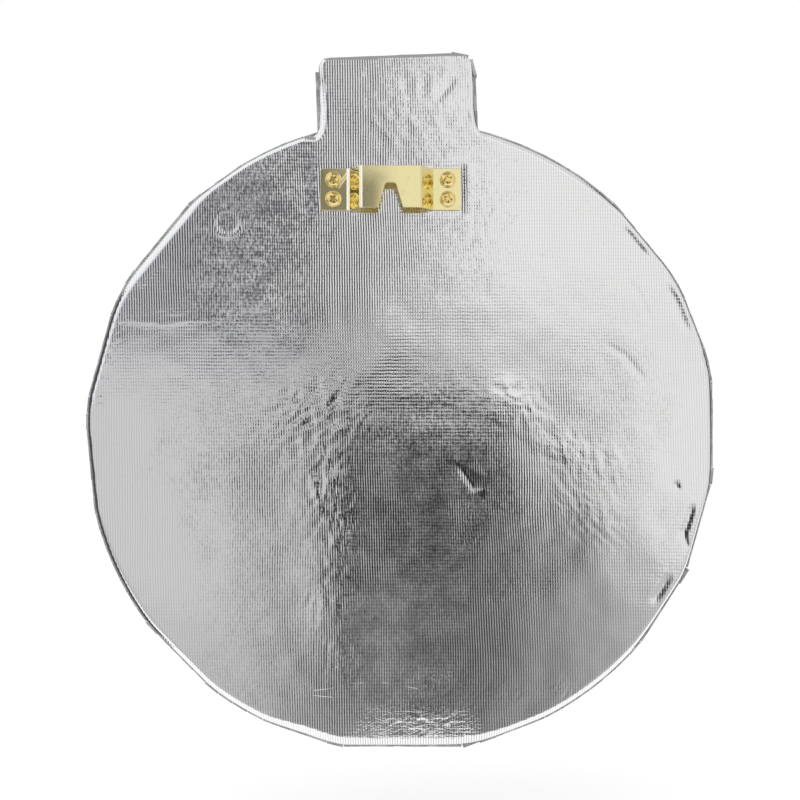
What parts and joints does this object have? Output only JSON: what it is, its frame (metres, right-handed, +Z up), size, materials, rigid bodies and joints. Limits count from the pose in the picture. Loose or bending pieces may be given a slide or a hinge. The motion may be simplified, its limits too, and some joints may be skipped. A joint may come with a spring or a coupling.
{
  "type": "mirrored wall ornament",
  "caption": "Flat wall ornament shaped like a ball with a square neck: a foil-covered board with mirror tiles on its front and rim and a notched brass nail hanger on its back.",
  "frame": {"origin": "the top of the hanger's notch, where the nail sits, in the plane of the wall", "axes": "+Z up, the mirror front faces -Y, the wall side with the foil and the hanger faces +Y"},
  "size_m": [0.2309, 0.0196, 0.2562],
  "materials": {
    "board": "raw fibreboard",
    "foil": "silver foil on ribbed cloth, glued and a little crumpled",
    "mirror_glass": "mirrored glass with grey-green cut edges",
    "hanger_brass": "brass-plated strip, lightly scratched",
    "screw_brass": "brass-plated, satin"
  },
  "bodies": {
    "root": {"core_board": "board", "foil_cover": "foil", "hanger": "hanger_brass", "hanger_screws": "screw_brass", "rim_strip_1": "mirror_glass", "rim_strip_2": "mirror_glass", "rim_strip_3": "mirror_glass", "neck_strip": "mirror_glass", "mirror_row_01": "mirror_glass", "mirror_row_02": "mirror_glass", "mirror_row_03": "mirror_glass", "mirror_row_04": "mirror_glass", "mirror_row_05": "mirror_glass", "mirror_row_06": "mirror_glass", "mirror_row_07": "mirror_glass", "mirror_row_08": "mirror_glass", "mirror_row_09": "mirror_glass", "mirror_row_10": "mirror_glass", "mirror_row_11": "mirror_glass", "mirror_row_12": "mirror_glass", "mirror_row_13": "mirror_glass", "mirror_row_14": "mirror_glass", "mirror_row_15": "mirror_glass", "mirror_row_16": "mirror_glass", "mirror_row_17": "mirror_glass", "mirror_row_18": "mirror_glass", "mirror_row_19": "mirror_glass", "mirror_row_20": "mirror_glass", "mirror_row_21": "mirror_glass", "mirror_row_22": "mirror_glass", "mirror_row_23": "mirror_glass", "mirror_row_24": "mirror_glass", "mirror_row_25": "mirror_glass", "mirror_row_26": "mirror_glass", "mirror_row_27": "mirror_glass", "mirror_row_28": "mirror_glass", "mirror_row_29": "mirror_glass", "mirror_row_30": "mirror_glass", "mirror_row_31": "mirror_glass", "mirror_row_32": "mirror_glass", "mirror_row_33": "mirror_glass", "mirror_row_34": "mirror_glass", "mirror_row_35": "mirror_glass", "mirror_row_36": "mirror_glass", "mirror_row_37": "mirror_glass", "mirror_row_38": "mirror_glass", "mirror_row_39": "mirror_glass", "mirror_row_40": "mirror_glass"}
  },
  "joints": []
}
